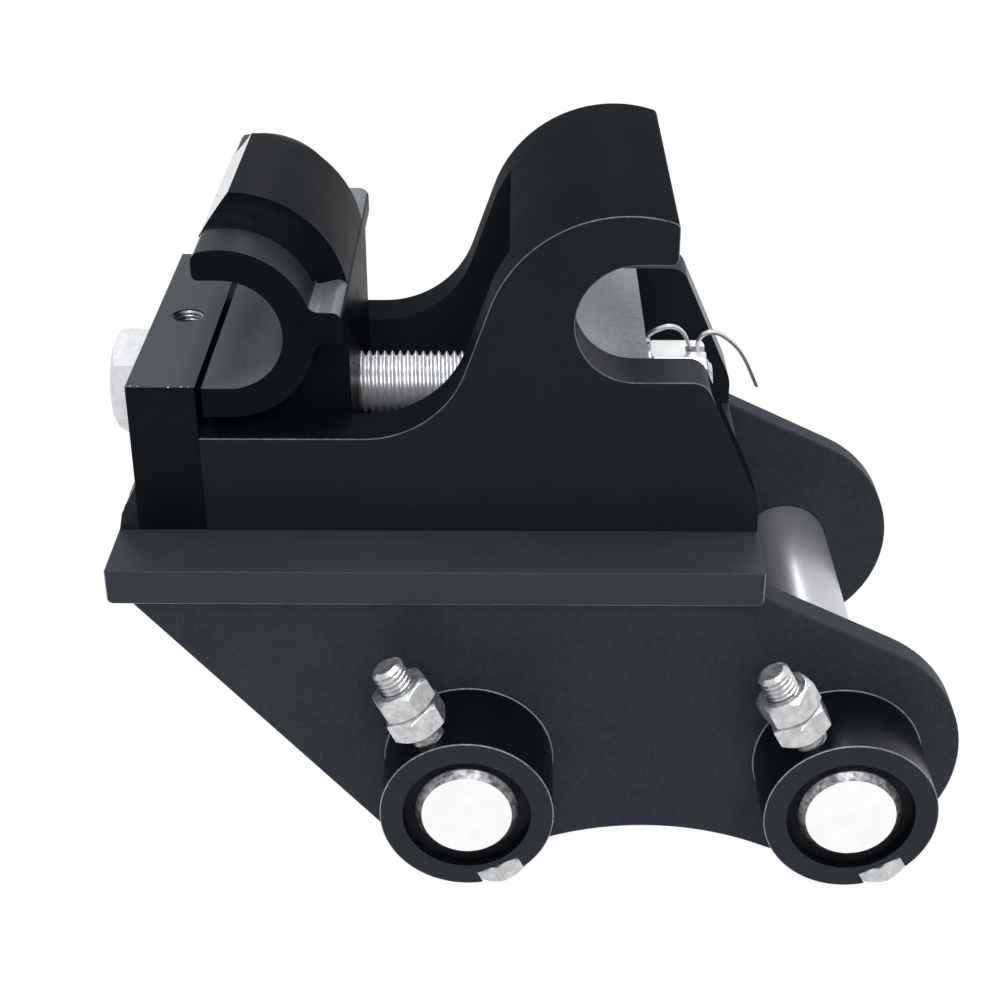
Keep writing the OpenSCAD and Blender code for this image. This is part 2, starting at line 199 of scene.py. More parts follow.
floor_gap = 0.0005
floor_z = cad_box[0][2] - floor_gap
floor_mesh = bpy.data.meshes.new("floor")
floor_half = 3.0
floor_mesh.from_pydata(
    [(-floor_half, -floor_half, floor_z), (floor_half, -floor_half, floor_z),
     (floor_half, floor_half, floor_z), (-floor_half, floor_half, floor_z)], [], [(0, 1, 2, 3)])
floor = bpy.data.objects.new("floor", floor_mesh)
bpy.context.scene.collection.objects.link(floor)

floor_paper = bpy.data.materials.new("white_paper")
tree, add = wired(floor_paper)
glow_share = add("ShaderNodeMath", {0: shows_white(add), 1: 0.95}, operation="MULTIPLY")
paper = add("ShaderNodeBsdfDiffuse", {"Color": (0.85, 0.85, 0.85, 1)})
glow = add("ShaderNodeEmission", {"Color": (1, 1, 1, 1), "Strength": 1.03})
both = add("ShaderNodeMixShader", {0: glow_share.outputs[0], 1: paper.outputs[0], 2: glow.outputs[0]})
add("ShaderNodeOutputMaterial", {"Surface": both.outputs[0]})
floor_mesh.materials.append(floor_paper)

room = bpy.data.worlds.new("room")
bpy.context.scene.world = room
tree, add = wired(room)
fill = add("ShaderNodeBackground", {"Color": (0.92, 0.96, 1.0, 1), "Strength": 0.45})
white = add("ShaderNodeBackground", {"Color": (1, 1, 1, 1), "Strength": 1.0})
shown = add("ShaderNodeMixShader", {0: shows_white(add), 1: fill.outputs[0], 2: white.outputs[0]})
add("ShaderNodeOutputWorld", {"Surface": shown.outputs[0]})

for name, at, aim, watts, wide, high in (
        ("key_lamp", (0.1, -1.0, 0.75), (0, 0, 0.05), 7.5, 0.6, 0.5),
        ("overhead_strip", (-0.08, -0.12, 1.05), (-0.02, -0.05, 0.05), 6.0, 0.12, 0.8),
        ("back_strip", (0.05, 0.75, 0.9), (0.08, 0, 0.0), 2.4, 0.1, 0.6)):
    lamp_data = bpy.data.lights.new(name, "AREA")
    lamp_data.energy = watts
    lamp_data.shape = "RECTANGLE"
    lamp_data.size = wide
    lamp_data.size_y = high
    lamp = bpy.data.objects.new(name, lamp_data)
    bpy.context.scene.collection.objects.link(lamp)
    lamp.location = at
    lamp.rotation_euler = (Vector(at) - Vector(aim)).to_track_quat("Z", "Y").to_euler()

# --- Base plate ---
# The 9 mm flat that everything is welded to: sawn from bar, with the lower edges of
# both its ends planed off, then painted in a satin blue-grey enamel. A pale painted
# highlight runs along the bottom edge and both end edges of its near face.

mm = 0.001
pin_apart = 92.5 * mm   # between the arm pins' axes; the one under the jaw is at x = 0
ear_out = 58.5 * mm     # the ears' outer faces, from the middle
collar_out = 81.5 * mm  # the collars' outer faces
cheek_out = 43 * mm     # the cheeks' outer faces


def worked(name, nodes, body, edge, steps=2, sharper_than=32, highlight_test=None):
    """A piece made from the faces of its CAD solids, with every sharp edge eased as a
    file, a grinder or thick paint leaves it. edge is how wide, in millimetres. The edges
    whose middle passes the given test take the piece's second finish, a pale paint that
    puts a painted highlight along them."""
    bm = bmesh.new()
    for node in nodes:
        bm.from_mesh(frame["nodes"][node].data)
    bmesh.ops.remove_doubles(bm, verts=bm.verts, dist=2e-6)
    bmesh.ops.dissolve_limit(bm, angle_limit=math.radians(0.4), verts=bm.verts, edges=bm.edges)
    for layer in list(bm.loops.layers.float_vector.values()):
        bm.loops.layers.float_vector.remove(layer)
    if highlight_test:
        highlit_edges = [
            e for e in bm.edges
            if len(e.link_faces) == 2 and e.calc_face_angle() > math.radians(sharper_than)
            and highlight_test((e.verts[0].co + e.verts[1].co) / 2)]
        bmesh.ops.bevel(bm, geom=highlit_edges, offset=edge * mm, offset_type="OFFSET", segments=2, profile=0.5,
                        affect="EDGES", clamp_overlap=False, material=1)
    mesh = bpy.data.meshes.new(name)
    bm.to_mesh(mesh)
    bm.free()
    for attribute in [a.name for a in mesh.attributes]:
        if attribute in ("custom_normal", "sharp_edge", "sharp_face"):
            mesh.attributes.remove(mesh.attributes[attribute])
    mesh.shade_smooth()
    piece = bpy.data.objects.new(name, mesh)
    bpy.context.scene.collection.objects.link(piece)
    eased = piece.modifiers.new("eased_edges", "BEVEL")
    eased.width = edge * mm
    eased.segments = steps
    eased.limit_method = "ANGLE"
    eased.angle_limit = math.radians(sharper_than)
    eased.harden_normals = True
    eased.use_clamp_overlap = True
    even = piece.modifiers.new("even_shading", "WEIGHTED_NORMAL")
    even.keep_sharp = True
    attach(piece, body)
    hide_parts(*nodes)
    return piece


def coat(piece, *finishes):
    """Give a piece its finishes, in the order of the numbers that its faces carry."""
    for finish in finishes:
        piece.data.materials.append(finish)


def enamel(name, colour, rough, grain=0.35, mottle=0.12, gloss=0.35, cast=0.0):
    """Sprayed machine enamel: fine orange peel, faint clouds in its colour and sheen, and for a
    casting the sand's pits under it."""
    paint = bpy.data.materials.new(name)
    tree, add = wired(paint)
    where = add("ShaderNodeTexCoord").outputs["Object"]
    clouds = add("ShaderNodeTexNoise", {"Vector": where, "Scale": 60.0, "Detail": 5.0, "Roughness": 0.6})
    specks = add("ShaderNodeTexNoise", {"Vector": where, "Scale": 900.0, "Detail": 2.0, "Roughness": 0.5})
    peel = add("ShaderNodeTexNoise", {"Vector": where, "Scale": 2200.0, "Detail": 2.0, "Roughness": 0.5})
    lower = tuple(c * (1 - mottle) for c in colour) + (1,)
    upper = tuple(min(1, c * (1 + mottle)) for c in colour) + (1,)
    blend = add("ShaderNodeMath", {0: clouds.outputs["Fac"], 1: specks.outputs["Fac"]}, operation="ADD")
    tint = add("ShaderNodeMapRange", {"Value": blend.outputs[0], "From Min": 0.75, "From Max": 1.25})
    tone = add("ShaderNodeMix", {"Factor": tint.outputs[0]}, data_type="RGBA")
    tone.inputs[6].default_value = lower
    tone.inputs[7].default_value = upper
    sheen = add("ShaderNodeMapRange", {
        "Value": clouds.outputs["Fac"], "From Min": 0.3, "From Max": 0.7,
        "To Min": rough - 0.05, "To Max": rough + 0.05})
    bump = add("ShaderNodeBump", {"Height": peel.outputs["Fac"], "Strength": grain, "Distance": 0.00012})
    if cast:
        sand = add("ShaderNodeTexNoise", {"Vector": where, "Scale": 260.0, "Detail": 5.0, "Roughness": 0.6})
        bump = add("ShaderNodeBump", {
            "Height": sand.outputs["Fac"], "Strength": cast, "Distance": 0.0003, "Normal": bump.outputs[0]})
    skin = add("ShaderNodeBsdfPrincipled", {
        "Base Color": tone.outputs[2], "Roughness": sheen.outputs[0], "Normal": bump.outputs[0],
        "Specular IOR Level": gloss})
    add("ShaderNodeOutputMaterial", {"Surface": skin.outputs[0]})
    return paint


grey_enamel = enamel("blue_grey_enamel", (0.026, 0.031, 0.042), 0.45, mottle=0.08, gloss=0.10)
# A pale enamel that paints a thin highlight line along the edges that catch the light.
edge_highlight_enamel = enamel("painted_edge_highlight", (0.19, 0.20, 0.22), 0.35, mottle=0.4, gloss=0.5)
plate_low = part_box("base_plate")[0]


def plate_highlit_edges(at):
    """True along the bottom edge and both end edges of the plate's near face, where a highlight is painted.
    """
    return at.y < plate_low.y + 1 * mm and (at.z < plate_low.z + 1 * mm or abs(at.x) > 69 * mm)


base_plate = worked(
    "base_plate_painted", ["base_plate"], "frame", 0.32, highlight_test=plate_highlit_edges)
coat(base_plate, grey_enamel, edge_highlight_enamel)

# --- Ears ---
# Two 8 mm plates for the arm, flame-cut to a long drooping outline, bored for the
# arm pins and fillet-welded on edge under the plate. Their paint is a little rougher.

ear_enamel = enamel("ear_enamel", (0.023, 0.027, 0.036), 0.5, grain=0.5, mottle=0.16, gloss=0.10)
for side in ("near", "far"):
    ear = worked(side + "_ear_painted", [side + "_ear"], "frame", 0.5)
    coat(ear, ear_enamel)

# --- Ear welds ---
# A 5 mm fillet bead along the inside corner of each ear, laid by hand in one pass,
# so it shows the ripples of the weaving rod under the paint.


def bead(name, nodes, along, pitch, depth):
    """A weld bead on its CAD solids: cut into short lengths along the run, then rippled."""
    bm = bmesh.new()
    for node in nodes:
        bm.from_mesh(frame["nodes"][node].data)
    bmesh.ops.remove_doubles(bm, verts=bm.verts, dist=2e-6)
    low = min(v.co[along] for v in bm.verts)
    high = max(v.co[along] for v in bm.verts)
    way = Vector((along == 0, along == 1, along == 2))
    cut = low + pitch * mm / 4
    while cut < high:
        whole = bm.verts[:] + bm.edges[:] + bm.faces[:]
        bmesh.ops.bisect_plane(bm, geom=whole, plane_co=way * cut, plane_no=way)
        cut += pitch * mm / 4
    bm.normal_update()
    for vertex in bm.verts:
        phase = vertex.co[along] / (pitch * mm) * 2 * math.pi
        push = (math.cos(phase) + 0.4 * math.cos(phase * 0.37 + 1) - 1.4) * depth * mm
        vertex.co += vertex.normal * push
    mesh = bpy.data.meshes.new(name)
    bm.to_mesh(mesh)
    bm.free()
    mesh.shade_smooth()
    mesh.set_sharp_from_angle(angle=math.radians(50))
    piece = bpy.data.objects.new(name, mesh)
    bpy.context.scene.collection.objects.link(piece)
    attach(piece, "frame")
    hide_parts(*nodes)
    return piece


weld_enamel = enamel("weld_enamel", (0.010, 0.012, 0.015), 0.4, grain=0.5, gloss=0.2, cast=0.4)
ear_welds = bead("ear_weld_beads", ["ear_welds"], 0, 3.2, 0.18)
coat(ear_welds, weld_enamel)

# --- Collars ---
# Turned bosses welded outside the ears, which carry the ends of the arm pins. They are
# sprayed gloss black, with a pale painted highlight along both outer rims and a thin cord
# round the root that carries the same painted highlight.

collar_r = 21 * mm
gloss_black = enamel(
    "collar_gloss_black", (0.0022, 0.0034, 0.0055), 0.28, grain=0.1, mottle=0.0, gloss=0.2)
collar_face = enamel(
    "collar_face_enamel", (0.016, 0.019, 0.026), 0.45, grain=0.3, mottle=0.12, gloss=0.10)


def collar_highlit_edges(at):
    """True on the outer rims of a collar, at its root and at its end, where a highlight is painted."""
    off_rims = min(abs(abs(at.y) - ear_out), abs(abs(at.y) - collar_out))
    off_axis = min(math.hypot(at.x, at.z), math.hypot(at.x - pin_apart, at.z))
    return off_rims < 0.2 * mm and off_axis > collar_r - 0.5 * mm


def round_cord(name, centre, ring_r, cord_r, around=96, corners=8):
    """A thin round ring about the Y axis, as a mesh."""
    bm = bmesh.new()
    rings = []
    for k in range(around):
        a = 2 * math.pi * k / around
        way = Vector((math.cos(a), 0, math.sin(a)))
        at = centre + way * ring_r
        rings.append([bm.verts.new(at + (way * math.cos(b) + Vector((0, math.sin(b), 0))) * cord_r)
                      for b in (2 * math.pi * c / corners for c in range(corners))])
    for k in range(around):
        here, there = rings[k], rings[(k + 1) % around]
        for c in range(corners):
            d = (c + 1) % corners
            bm.faces.new((here[c], here[d], there[d], there[c]))
    mesh = bpy.data.meshes.new(name)
    bm.to_mesh(mesh)
    bm.free()
    mesh.shade_smooth()
    return mesh


for node in ("near_jaw_side_collar", "near_hook_side_collar", "far_jaw_side_collar", "far_hook_side_collar"):
    collar = worked(node + "_painted", [node], "frame", 0.24, highlight_test=collar_highlit_edges)
    coat(collar, gloss_black, edge_highlight_enamel, collar_face)
    for face in collar.data.polygons:
        if abs(face.normal.y) > 0.99:
            face.material_index = 2
    root = Vector((0.0 if "jaw" in node else pin_apart, ear_out * (-1 if "near" in node else 1), 0))
    # A thin cord round the collar's root, coloured pale as a painted highlight line.
    highlight_ring_mesh = round_cord(node + "_seam", root, collar_r + 0.05 * mm, 0.2 * mm)
    highlight_cord = bpy.data.objects.new(node + "_seam", highlight_ring_mesh)
    bpy.context.scene.collection.objects.link(highlight_cord)
    coat(highlight_cord, edge_highlight_enamel)
    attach(highlight_cord, "frame")

# --- Bushes ---
# Hardened steel sleeves pressed into the collars, set a little below their faces and
# blackened by the quench. The arm pin runs in them.


def bare_steel(name, colour, rough, scratch_way, scratch=0.15, blotch=0.1, bumps=0.15,
               blotch_scale=160.0, metal=1.0):
    """Bare or plated steel: fine turning or drawing lines round or along it, with
    blotches where the plating or the oil is thicker."""
    steel = bpy.data.materials.new(name)
    tree, add = wired(steel)
    where = add("ShaderNodeTexCoord").outputs["Object"]
    stretched = add("ShaderNodeMapping", {"Vector": where, "Scale": scratch_way})
    lines = add("ShaderNodeTexNoise", {
        "Vector": stretched.outputs[0], "Scale": 1.0, "Detail": 2.0, "Roughness": 0.5})
    spots = add("ShaderNodeTexNoise", {
        "Vector": where, "Scale": blotch_scale, "Detail": 4.0, "Roughness": 0.65})
    tint = add("ShaderNodeMapRange", {"Value": spots.outputs["Fac"], "From Min": 0.38, "From Max": 0.62})
    tone = add("ShaderNodeMix", {"Factor": tint.outputs[0]}, data_type="RGBA")
    tone.inputs[6].default_value = tuple(c * (1 - blotch) for c in colour) + (1,)
    tone.inputs[7].default_value = tuple(min(1, c * (1 + blotch)) for c in colour) + (1,)
    mixed = add("ShaderNodeMath", {0: lines.outputs["Fac"], 1: spots.outputs["Fac"]}, operation="ADD")
    sheen = add("ShaderNodeMapRange", {
        "Value": mixed.outputs[0], "From Min": 0.7, "From Max": 1.3,
        "To Min": rough - scratch / 2, "To Max": rough + scratch / 2})
    skin = add("ShaderNodeBsdfPrincipled", {
        "Base Color": tone.outputs[2], "Metallic": metal, "Roughness": sheen.outputs[0]})
    if bumps:
        bump = add("ShaderNodeBump", {"Height": lines.outputs["Fac"], "Strength": bumps, "Distance": 0.00008})
        tree.links.new(bump.outputs[0], skin.inputs["Normal"])
    add("ShaderNodeOutputMaterial", {"Surface": skin.outputs[0]})
    return steel


quenched = bare_steel(
    "quenched_steel", (0.010, 0.011, 0.013), 0.5, (900.0, 60.0, 900.0), blotch=0.3)
for node in ("near_jaw_side_bush", "near_hook_side_bush", "far_jaw_side_bush", "far_hook_side_bush"):
    bush = worked(node + "_eased", [node], "frame", 0.4)
    coat(bush, quenched)

# --- Arm pins ---
# Two 25 mm pins, hardened and ground along their length, faced off in the lathe at
# their ends with a small chamfer. The near ends are what the photograph shows.

ground_bar = bare_steel(
    "ground_pin", (0.54, 0.55, 0.57), 0.3, (900.0, 12.0, 900.0),
    scratch=0.0, blotch=0.0, bumps=0.0, metal=0.8)
faced_end = bare_steel(
    "faced_pin_end", (0.93, 0.94, 0.95), 0.35, (500.0, 500.0, 500.0),
    scratch=0.1, blotch=0.02, bumps=0.0)
# A darker, blotchy steel for the pin ends' chamfer: painted shade.
chamfer_shaded_steel = bare_steel(
    "chamfer_painted_shade", (0.22, 0.225, 0.235), 0.4, (500.0, 500.0, 500.0),
    scratch=0.0, blotch=0.6, bumps=0.0, blotch_scale=600.0)
for node in ("jaw_side_arm_pin", "hook_side_arm_pin"):
    pin = worked(node + "_ground", [node], "frame", 0.25, steps=2, sharper_than=20)
    coat(pin, ground_bar, faced_end, chamfer_shaded_steel)
    for face in pin.data.polygons:
        if abs(face.normal.y) > 0.9:
            face.material_index = 1
        # Chamfer faces take the darker steel, a painted shade.
        elif abs(face.normal.y) > 0.3:
            face.material_index = 2

# --- Cross bolts ---
# One M8 bolt locks each arm pin: it runs up through the near collar, the bush and the
# pin, and its zinc-plated thread stands out above, where the two nuts lock on it.


def thread_and_shank(sections, sides=40):
    """Vertices and faces of a round bar along Z. A section is a plain turned length
    ("turned", [(z, radius), ...]) or a cut thread ("thread", z0, z1, radius, depth, pitch),
    whose groove winds round the bar and runs out at both ends."""
    verts, faces = [], []
    for section in sections:
        first = len(verts)
        if section[0] == "turned":
            rings = section[1]
            for z, radius in rings:
                for j in range(sides):
                    a = 2 * math.pi * j / sides
                    verts.append((radius * math.cos(a), radius * math.sin(a), z))
            for i in range(len(rings) - 1):
                for j in range(sides):
                    k = (j + 1) % sides
                    faces.append((first + i * sides + j, first + i * sides + k,
                                  first + (i + 1) * sides + k, first + (i + 1) * sides + j))
            faces.append(tuple(first + j for j in reversed(range(sides))))
            faces.append(tuple(first + (len(rings) - 1) * sides + j for j in range(sides)))
            continue
        _, z0, z1, radius, depth, pitch = section
        profile = ((0.0, 0.0), (0.12, 0.0), (0.5, 1.0), (0.62, 1.0))
        turns = math.ceil((z1 - z0) / pitch) + 2
        steps = turns * sides
        for part, cut in profile:
            for m in range(steps + 1):
                a = 2 * math.pi * m / sides
                z = z0 - pitch + (m / sides + part) * pitch
                fade = max(0.0, min(1.0, (z - z0) / pitch, (z1 - z) / (0.5 * pitch)))
                r = radius - depth * (cut * fade)
                z = min(max(z, z0), z1)
                verts.append((r * math.cos(a), r * math.sin(a), z))
        rows = len(profile)
        for i in range(rows):
            for m in range(steps):
                if i < rows - 1:
                    c, d = first + (i + 1) * (steps + 1) + m + 1, first + (i + 1) * (steps + 1) + m
                elif m + 1 + sides <= steps:
                    c, d = first + m + 1 + sides, first + m + sides
                else:
                    continue
                faces.append((first + i * (steps + 1) + m, first + i * (steps + 1) + m + 1, c, d))
    return verts, faces


def turned_piece(name, sections, stand, body, nodes, sides=40):
    """A turned or threaded bar, stood in its place by the matrix stand."""
    verts, faces = thread_and_shank(sections, sides)
    mesh = bpy.data.meshes.new(name)
    mesh.from_pydata([stand @ Vector(v) for v in verts], [], faces)
    bm = bmesh.new()
    bm.from_mesh(mesh)
    bmesh.ops.dissolve_degenerate(bm, dist=1e-6, edges=bm.edges)
    bmesh.ops.recalc_face_normals(bm, faces=bm.faces)
    bm.to_mesh(mesh)
    bm.free()
    mesh.shade_smooth()
    mesh.set_sharp_from_angle(angle=math.radians(28))
    piece = bpy.data.objects.new(name, mesh)
    bpy.context.scene.collection.objects.link(piece)
    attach(piece, body)
    if nodes:
        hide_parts(*nodes)
    return piece


def hexagon(bm, across_flats, height, matrix, both_ends=True, bore=0.0):
    """A hexagon with its corners chamfered by a cone at one or both ends, as on any nut."""
    flat = across_flats / 2
    rim_at = flat * 0.9
    rings = []
    per = 8
    for z, side in ((0.0, -1 if both_ends else 0), (height, 1)):
        edge, rim = [], []
        for j in range(6 * per):
            a = math.pi / 3 * (j / per)
            inside = (a % (math.pi / 3)) - math.pi / 6
            reach = flat / math.cos(inside)
            level = (reach - rim_at) * math.tan(math.radians(30))
            edge.append(Vector((reach * math.cos(a), reach * math.sin(a), z - side * level)))
            rim.append(Vector((rim_at * math.cos(a), rim_at * math.sin(a), z)))
        rings.append((edge, rim))
    count = 6 * per
    lower = [bm.verts.new(matrix @ p) for p in rings[0][0]]
    upper = [bm.verts.new(matrix @ p) for p in rings[1][0]]
    low_rim = [bm.verts.new(matrix @ p) for p in rings[0][1]]
    up_rim = [bm.verts.new(matrix @ p) for p in rings[1][1]]
    for j in range(count):
        k = (j + 1) % count
        bm.faces.new((lower[j], lower[k], upper[k], upper[j]))
        bm.faces.new((upper[j], upper[k], up_rim[k], up_rim[j]))
        bm.faces.new((low_rim[j], low_rim[k], lower[k], lower[j]))

    def circle(radius, z):
        """New vertices round the hole, one to each of the rim's."""
        turns = (2 * math.pi * j / count for j in range(count))
        return [bm.verts.new(matrix @ Vector((radius * math.cos(a), radius * math.sin(a), z))) for a in turns]

    if bore:
        for rim, z, step in ((low_rim, 0.0, 1), (up_rim, height, -1)):
            mouth = circle(bore * 1.12, z)
            throat = circle(bore, z + step * bore * 0.2)
            for j in range(count):
                k = (j + 1) % count
                bm.faces.new((rim[j], rim[k], mouth[k], mouth[j]))
                bm.faces.new((mouth[j], mouth[k], throat[k], throat[j]))
    else:
        bm.faces.new(low_rim[::-1])
        bm.faces.new(up_rim)


zinc = bare_steel(
    "bright_zinc", (0.54, 0.55, 0.56), 0.28, (300.0, 300.0, 300.0),
    scratch=0.22, blotch=0.16, bumps=0.35, blotch_scale=420.0, metal=0.85)

bolt_y = -75.0 * mm
bolt_top = 43.0  # millimetres above the pin's axis, along the bolt
bolt_seat = 17.0  # millimetres below it, where the head bears
m8_flats = 13 * mm
pin_places = {"jaw_side": (0.0, 26), "hook_side": (pin_apart, 29)}  # x, and the bolt's lean in degrees


def stand_on_pin(side):
    """The place of a cross bolt: through the pin's middle, leaning towards the jaw's end."""
    x, lean = pin_places[side]
    return Matrix.Translation((x, bolt_y, 0)) @ Matrix.Rotation(math.radians(-lean), 4, "Y")


for side in pin_places:
    bolt = turned_piece(side + "_cross_bolt_cut", [
        ("turned", [(-bolt_seat * mm, 3.9 * mm), (20.5 * mm, 3.9 * mm)]),
        ("thread", 20.0 * mm, (bolt_top - 0.8) * mm, 4.0 * mm, 0.72 * mm, 1.25 * mm),
        ("turned", [((bolt_top - 0.9) * mm, 3.9 * mm), ((bolt_top - 0.7) * mm, 3.7 * mm),
                    (bolt_top * mm, 2.9 * mm)]),
    ], stand_on_pin(side), "frame", [side + "_cross_bolt"])
    bm = bmesh.new()
    bm.from_mesh(bolt.data)
    head = (stand_on_pin(side) @ Matrix.Translation((0, 0, -bolt_seat * mm))
            @ Matrix.Rotation(math.pi, 4, "X") @ Matrix.Rotation(math.pi / 6, 4, "Z"))
    hexagon(bm, m8_flats, 5.3 * mm, head, both_ends=False)
    bm.to_mesh(bolt.data)
    bm.free()
    coat(bolt, zinc)

# --- Lock nuts ---
# Two M8 nuts run down each stud and tightened against each other above the collar,
# so that the cross bolt can't work loose.

for side in pin_places:
    bm = bmesh.new()
    for low, turn in ((24.0, 32), (30.55, -7)):
        seat = (stand_on_pin(side) @ Matrix.Translation((0, 0, low * mm))
                @ Matrix.Rotation(math.radians(turn), 4, "Z"))
        hexagon(bm, m8_flats, 6.5 * mm, seat, bore=4.02 * mm)
    bmesh.ops.recalc_face_normals(bm, faces=bm.faces)
    mesh = bpy.data.meshes.new(side + "_lock_nuts_cut")
    bm.to_mesh(mesh)
    bm.free()
    mesh.shade_smooth()
    mesh.set_sharp_from_angle(angle=math.radians(24))
    nuts = bpy.data.objects.new(side + "_lock_nuts_cut", mesh)
    bpy.context.scene.collection.objects.link(nuts)
    softened = nuts.modifiers.new("worn_corners", "BEVEL")
    softened.width = 0.22 * mm
    softened.segments = 2
    softened.limit_method = "ANGLE"
    softened.angle_limit = math.radians(24)
    softened.harden_normals = True
    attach(nuts, "frame")
    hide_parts(side + "_lock_nuts")
    coat(nuts, zinc)

# --- Cheeks ---
# Two 14 mm side plates, flame-cut to the hook's outline with the mouth cut through, and
# welded on edge to the plate. They are painted nearly black, with a pale painted highlight
# along their outer edges, and their upward faces carry painted light and shade: the crown
# darker, the lip lighter, the near slope darker and the far slope as pale as the edge highlight.

black_enamel = enamel(
    "cheek_enamel", (0.0098, 0.0132, 0.0162), 0.42, grain=0.25, mottle=0.08, gloss=0.04)
# A darker copy of the cheek paint for the crown's upward faces: painted shade.
crown_painted_shade_enamel = enamel(
    "crown_painted_shade_enamel", (0.0054, 0.0076, 0.0100), 0.42, grain=0.25, mottle=0.08, gloss=0.003)
# A pale paint for the painted highlight along the cheeks' edges and on the far slope.
cheek_highlight_enamel = enamel("cheek_edge_painted_highlight", (0.10, 0.11, 0.12), 0.4, mottle=0.4, gloss=0.2)
# A lighter copy of the cheek paint for the lip's upward faces: painted light.
lip_painted_light_enamel = enamel("lip_painted_light_enamel", (0.018, 0.022, 0.029), 0.42, grain=0.3, mottle=0.12, gloss=0.04)
# A darker copy of the cheek paint for the near slope: painted shade.
slope_enamel = enamel("slope_enamel", (0.0075, 0.009, 0.011), 0.6, grain=0.25, mottle=0.08, gloss=0.0)


def cheek_highlit_edges(at):
    """True on the outer edges of a cheek, round the hook and along the top, where a highlight is painted."""
    return abs(abs(at.y) - cheek_out) < 0.5 * mm and at.z > 60 * mm and -63.5 * mm < at.x < 60 * mm


for side in ("near", "far"):
    cheek = worked(
        side + "_cheek_painted", [side + "_cheek"], "frame", 0.22, highlight_test=cheek_highlit_edges)
    coat(cheek, black_enamel, cheek_highlight_enamel, crown_painted_shade_enamel, lip_painted_light_enamel, slope_enamel)
    # Upward faces take lit and shaded copies of the paint by where they are: painted light and shade.
    for face in cheek.data.polygons:
        at, way = face.center, face.normal
        faces_up = face.material_index == 0 and abs(way.y) < 0.1 and way.z > 0.05
        if not faces_up or (at.z <= 70 * mm and way.x <= 0.35):
            continue
        if way.x > 0.35 and at.x > 58 * mm:
            face.material_index = 4 if side == "near" else 1
        elif 22 * mm < at.x < 58 * mm and at.z < 108 * mm:
            face.material_index = 3
        else:
            face.material_index = 2

# --- Hook block ---
# The solid block between the cheeks that carries the fixed hook's crown and mouth, and
# through which the lead screw's tail runs. Its seams with the cheeks are ground flush.

hook_block = worked("hook_block_painted", ["hook_block"], "frame", 0.05, steps=1)
hook_axis = Vector((39.75 * mm, 0, 111.6 * mm))
hook_mouth_r = 14.6 * mm
mouth_skin = enamel(
    "rubbed_mouth_enamel", (0.32, 0.345, 0.385), 0.45, grain=0.8, mottle=0.2, gloss=0.5, cast=0.25)
coat(hook_block, black_enamel, mouth_skin, crown_painted_shade_enamel)
for face in hook_block.data.polygons:
    out = Vector((face.center.x, 0, face.center.z)) - hook_axis
    if abs(out.length - hook_mouth_r) < 0.2 * mm and abs(face.normal.y) < 0.1:
        face.material_index = 1
    # The crown's upward faces take the darker crown paint, a painted shade.
    elif face.normal.z > 0.05 and face.center.z > 90 * mm:
        face.material_index = 2

# --- End block ---
# A bar across the plate's end, bored for the lead screw and tapped from above for the
# grub screw. Its top is milled and painted lighter than its sides, as painted light on the
# faces that look up, and the paint is chipped along the front top edge.

# A lighter copy of the end block's paint for its top: painted light.
lit_top_enamel = enamel(
    "top_painted_light_enamel", (0.042, 0.051, 0.064), 0.42, grain=0.3, mottle=0.10, gloss=0.06)
deep_black = enamel(
    "end_block_enamel", (0.0035, 0.0048, 0.006), 0.4, grain=0.25, mottle=0.1, gloss=0.05)
end_block = worked("end_block_painted", ["end_block"], "frame", 0.35)
coat(end_block, deep_black, lit_top_enamel)
# Faces that look up take the lighter paint, a painted light.
for face in end_block.data.polygons:
    if face.normal.z > 0.9:
        face.material_index = 1

chip_marks = (  # where a chip shows in the picture, and its length in millimetres
    (126, 386, 0.5), (130, 386, 0.9), (137, 386.5, 0.6), (168, 387.5, 0.8), (181, 387, 0.7), (188, 387, 0.4))
chip_corners = 7
chips = bmesh.new()
for across, down, long_side in chip_marks:
    at, out = place_on((across, down), [end_block])
    rim = []
    for k in range(chip_corners):
        a = 2 * math.pi * k / chip_corners
        reach = (0.7 + 0.3 * math.cos(3 * a + across)) * long_side / 2 * mm
        way = Vector((math.cos(a), 0, 0)) * reach + out.cross(Vector((1, 0, 0))) * math.sin(a) * reach * 0.5
        rim.append(chips.verts.new(at + way + out * 0.02 * mm))
    chips.faces.new(rim)
chip_mesh = bpy.data.meshes.new("paint_chips")
chips.to_mesh(chip_mesh)
chips.free()
paint_chips = bpy.data.objects.new("paint_chips", chip_mesh)
bpy.context.scene.collection.objects.link(paint_chips)
coat(paint_chips, bare_steel(
    "chip_steel", (0.75, 0.76, 0.78), 0.4, (300.0, 300.0, 300.0), metal=0.4))
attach(paint_chips, "frame")

# --- End block welds ---
# Heavy fillet beads at the end block's foot on the outer side, with a gap between them
# under the screw's head, and rippled by the rod.

end_welds = bead("end_block_weld_beads", ["end_block_welds"], 1, 3.6, 0.16)
coat(end_welds, weld_enamel)

# --- Moving jaw ---
# A steel casting: a thick middle with a cast cove down to thinner ends, a rib behind
# them, and a tapped foot between the cheeks. Painted over the sand's skin; the mouth's
# own surface is left brighter, where the pin rubs. The upper band of the round ends is
# painted lighter as painted light, and the rib's top pale as a painted highlight.

jaw_enamel = enamel(
    "jaw_enamel", (0.0040, 0.0058, 0.0084), 0.34, grain=0.3, mottle=0.1, gloss=0.011, cast=0.05)
jaw_mouth_skin = enamel(
    "jaw_mouth_enamel", (0.068, 0.080, 0.100), 0.42, grain=0.7, mottle=0.15, gloss=0.05, cast=0.15)
machined_facet = bare_steel(
    "machined_facet", (0.68, 0.69, 0.70), 0.45, (60.0, 500.0, 60.0),
    scratch=0.1, blotch=0.04, bumps=0.1, metal=0.2)
